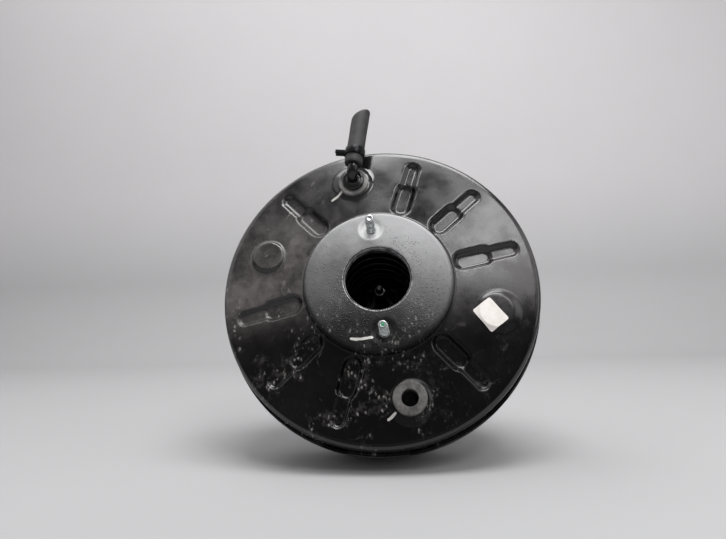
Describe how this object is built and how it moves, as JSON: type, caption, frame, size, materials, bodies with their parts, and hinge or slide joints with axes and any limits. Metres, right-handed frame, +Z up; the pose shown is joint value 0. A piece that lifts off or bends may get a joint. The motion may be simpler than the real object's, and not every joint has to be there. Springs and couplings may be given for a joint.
{
  "type": "brake booster",
  "caption": "Vacuum brake booster: round black steel casing with a pilot hole and studs in front, check valve with hose stub, and a booted pushrod with clevis behind.",
  "frame": {"origin": "centre of the bulkhead stud pattern, on the bulkhead mounting face", "axes": "+Y towards the bulkhead along the booster's axis, so the master cylinder side faces -Y; +Z up; +X right seen from the front"},
  "size_m": [0.2912, 0.2794, 0.3177],
  "materials": {
    "black_enamel": "gloss black dip enamel",
    "zinc_steel": "zinc-plated pressed steel",
    "zinc_stud": "bright zinc-plated steel",
    "dish_steel": "phosphated sheet steel",
    "rod_steel": "turned steel",
    "spring_steel": "black-phosphated spring wire",
    "clevis_steel": "yellow-passivated steel",
    "clamp_steel": "black spring-steel band",
    "diaphragm_rubber": "moulded rubber",
    "seal_rubber": "moulded rubber",
    "grommet_rubber": "dusty moulded rubber",
    "boot_rubber": "moulded rubber boot",
    "hose_rubber": "matt vacuum hose rubber",
    "phenolic": "glass-filled phenolic",
    "guide_plastic": "acetal",
    "valve_plastic": "black nylon",
    "cap_plastic": "black nylon",
    "filter_foam": "open-cell foam",
    "felt": "pressed felt"
  },
  "bodies": {
    "casing": {"front_shell": "black_enamel", "rear_shell": "black_enamel", "front_stiffener": "zinc_steel", "rear_stiffener": "zinc_steel", "master_cylinder_studs": "zinc_stud", "bulkhead_studs": "zinc_stud", "diaphragm": "diaphragm_rubber", "neck_guide": "guide_plastic", "neck_seal": "seal_rubber", "return_spring": "spring_steel", "dust_boot": "boot_rubber", "check_valve_grommet": "grommet_rubber", "sensor_grommet": "grommet_rubber"},
    "power_piston": {"valve_body": "phenolic", "diaphragm_plate": "dish_steel", "reaction_disc": "seal_rubber", "output_pushrod": "rod_steel", "pushrod_adjuster": "rod_steel", "pushrod_retainer": "dish_steel", "stop_key": "rod_steel", "poppet_valve": "seal_rubber", "poppet_insert": "rod_steel", "poppet_spring": "spring_steel", "poppet_retainer": "rod_steel", "input_spring": "spring_steel", "air_filter": "filter_foam", "silencer_felt": "felt", "filter_cap": "cap_plastic"},
    "air_valve": {"plunger": "rod_steel"},
    "input_rod": {"input_rod": "zinc_stud", "spring_collar": "rod_steel", "lock_nut": "zinc_stud", "clevis": "clevis_steel"},
    "check_valve": {"check_valve_elbow": "valve_plastic", "check_valve_seat": "valve_plastic", "check_valve_spring": "spring_steel", "hose_stub": "hose_rubber", "hose_clamp": "clamp_steel"},
    "check_disc": {"check_valve_disc": "seal_rubber"}
  },
  "joints": [
    {"name": "piston_stroke", "type": "slide", "parent": "casing", "child": "power_piston", "axis": [0, -1, 0], "range_m": [0, 0.032], "stiffness_N_per_m": 2600, "springref_m": -0.02, "deforming": ["return_spring", "diaphragm", "dust_boot"]},
    {"name": "air_valve_travel", "type": "slide", "parent": "power_piston", "child": "air_valve", "axis": [0, -1, 0], "range_m": [0, 0.0018], "stiffness_N_per_m": 4000, "springref_m": -0.004, "deforming": ["input_spring"]},
    {"name": "input_rod_swing", "type": "hinge", "parent": "air_valve", "child": "input_rod", "pos_m": [0, 0.0025, 0], "axis": [1, 0, 0], "range_deg": [-2.5, 2.5], "stiffness_Nm_per_rad": 20},
    {"name": "check_valve_turn", "type": "hinge", "parent": "casing", "child": "check_valve", "pos_m": [-0.02237, -0.09713, 0.10259], "axis": [0, -1, 0], "range_deg": [-90, 90]},
    {"name": "check_disc_lift", "type": "slide", "parent": "check_valve", "child": "check_disc", "axis": [0, -1, 0], "range_m": [0, 0.0015], "stiffness_N_per_m": 60, "springref_m": -0.003, "deforming": ["check_valve_spring"]}
  ]
}
